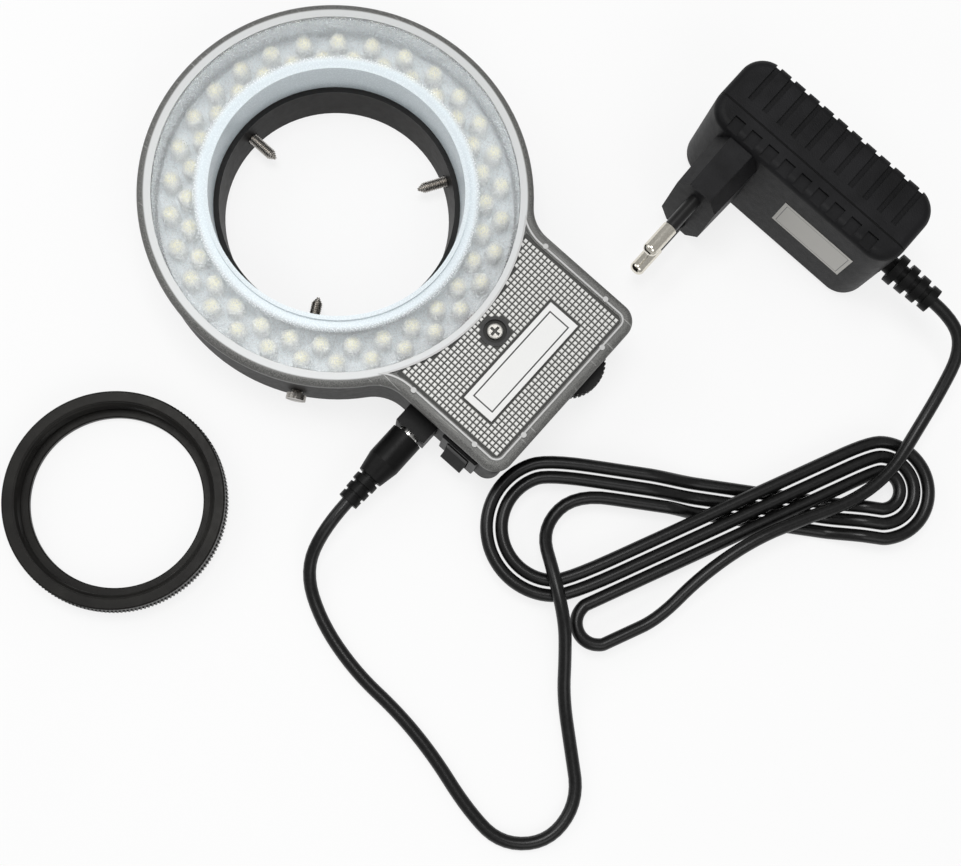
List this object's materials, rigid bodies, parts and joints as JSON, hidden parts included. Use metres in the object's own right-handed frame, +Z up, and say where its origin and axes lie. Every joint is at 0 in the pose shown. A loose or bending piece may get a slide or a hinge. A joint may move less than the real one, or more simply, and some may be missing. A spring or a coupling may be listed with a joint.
{
  "type": "microscope ring light",
  "caption": "Ring lamp for a microscope with a side handle, rocker switch, dimmer wheel, clamp screws, a loose mount ring and a plug-in mains adapter on a tangled lead.",
  "frame": {"origin": "centre of the lamp's bore on its flat back, which lies on the table", "axes": "+Z up out of the window along the bore axis; +X from the bore along the handle; -Y out of the supply jack"},
  "size_m": [0.221, 0.2205, 0.037],
  "materials": {
    "housing_grey": "satin",
    "cover_silver": "satin metallic",
    "window_frosted": "frosted, translucent",
    "ledge_black": "matte",
    "board_white": "solder resist",
    "lamp_clear": "clear epoxy",
    "screw_steel": "plated, threaded",
    "nut_steel": "plated",
    "cover_screw_steel": "plated",
    "sticker_white": "printed paper with a plain frame",
    "board_green": "solder resist",
    "component_black": "moulded",
    "lead_red": "insulated wire",
    "jack_black": "moulded",
    "contact_brass": "bare",
    "barrel_chrome": "polished",
    "plug_black": "moulded",
    "switch_black": "moulded",
    "paddle_black": "moulded",
    "pot_metal": "bare",
    "wheel_black": "knurled",
    "cord_black": "satin",
    "adapter_black": "fine texture",
    "pin_nickel": "polished",
    "sleeve_black": "moulded",
    "label_silver": "bare label",
    "transformer_tape": "taped winding",
    "capacitor_sleeve": "sleeved",
    "ring_anodised": "black anodised"
  },
  "bodies": {
    "lamp": {"rear_housing": "housing_grey", "front_cover": "cover_silver", "window_ring": "window_frosted", "ledge_ring": "ledge_black", "lamp_board": "board_white", "lamps_outer": "lamp_clear", "lamps_inner": "lamp_clear", "clamp_nuts": "nut_steel", "cover_screw": "cover_screw_steel", "sticker": "sticker_white", "control_board": "board_green", "control_parts": "component_black", "board_ribbon": "lead_red", "supply_jack": "jack_black", "jack_pin": "contact_brass", "switch_body": "switch_black", "switch_terminals": "contact_brass", "dimmer_pot": "pot_metal"},
    "clamp_a": {"clamp_screw_1": "screw_steel"},
    "clamp_b": {"clamp_screw_2": "screw_steel"},
    "clamp_c": {"clamp_screw_3": "screw_steel"},
    "rocker": {"rocker_paddle": "paddle_black"},
    "dimmer": {"dimmer_shaft": "pot_metal", "dimmer_wheel": "wheel_black"},
    "power_lead": {"plug_barrel": "barrel_chrome", "plug_grip": "plug_black", "cord_lamp_side": "cord_black", "cord_tangle": "cord_black", "cord_adapter_side": "cord_black", "adapter_front": "adapter_black", "adapter_back": "adapter_black", "mains_pins": "pin_nickel", "pin_sleeves": "sleeve_black", "contact_strips": "contact_brass", "adapter_label": "label_silver", "adapter_relief": "plug_black", "supply_board": "board_green", "supply_leads": "lead_red", "transformer": "transformer_tape", "supply_capacitors": "capacitor_sleeve"},
    "loose_ring": {"mount_ring": "ring_anodised"}
  },
  "joints": [
    {"name": "clamp_screw_a", "type": "slide", "parent": "lamp", "child": "clamp_a", "axis": [-1, 0, 0], "range_m": [-0.0007, 0.0074]},
    {"name": "clamp_screw_b", "type": "slide", "parent": "lamp", "child": "clamp_b", "axis": [0.5, 0.866, 0], "range_m": [-0.0007, 0.0074]},
    {"name": "clamp_screw_c", "type": "slide", "parent": "lamp", "child": "clamp_c", "axis": [0.5, -0.866, 0], "range_m": [-0.0007, 0.0074]},
    {"name": "rocker_tilt", "type": "hinge", "parent": "lamp", "child": "rocker", "pos_m": [0.0664, -0.026, 0.012], "axis": [1, 0, 0], "range_deg": [0, 19]},
    {"name": "dimmer_turn", "type": "hinge", "parent": "lamp", "child": "dimmer", "pos_m": [0.0716, 0.0092, 0.0144], "axis": [0, 0, 1], "range_deg": [0, 270]},
    {"name": "plug_pull", "type": "slide", "parent": "lamp", "child": "power_lead", "axis": [0, -1, 0], "range_m": [0, 0.01]},
    {"name": "ring_lift", "type": "slide", "parent": "lamp", "child": "loose_ring", "axis": [0, 0, 1], "range_m": [0, 0.03]}
  ]
}
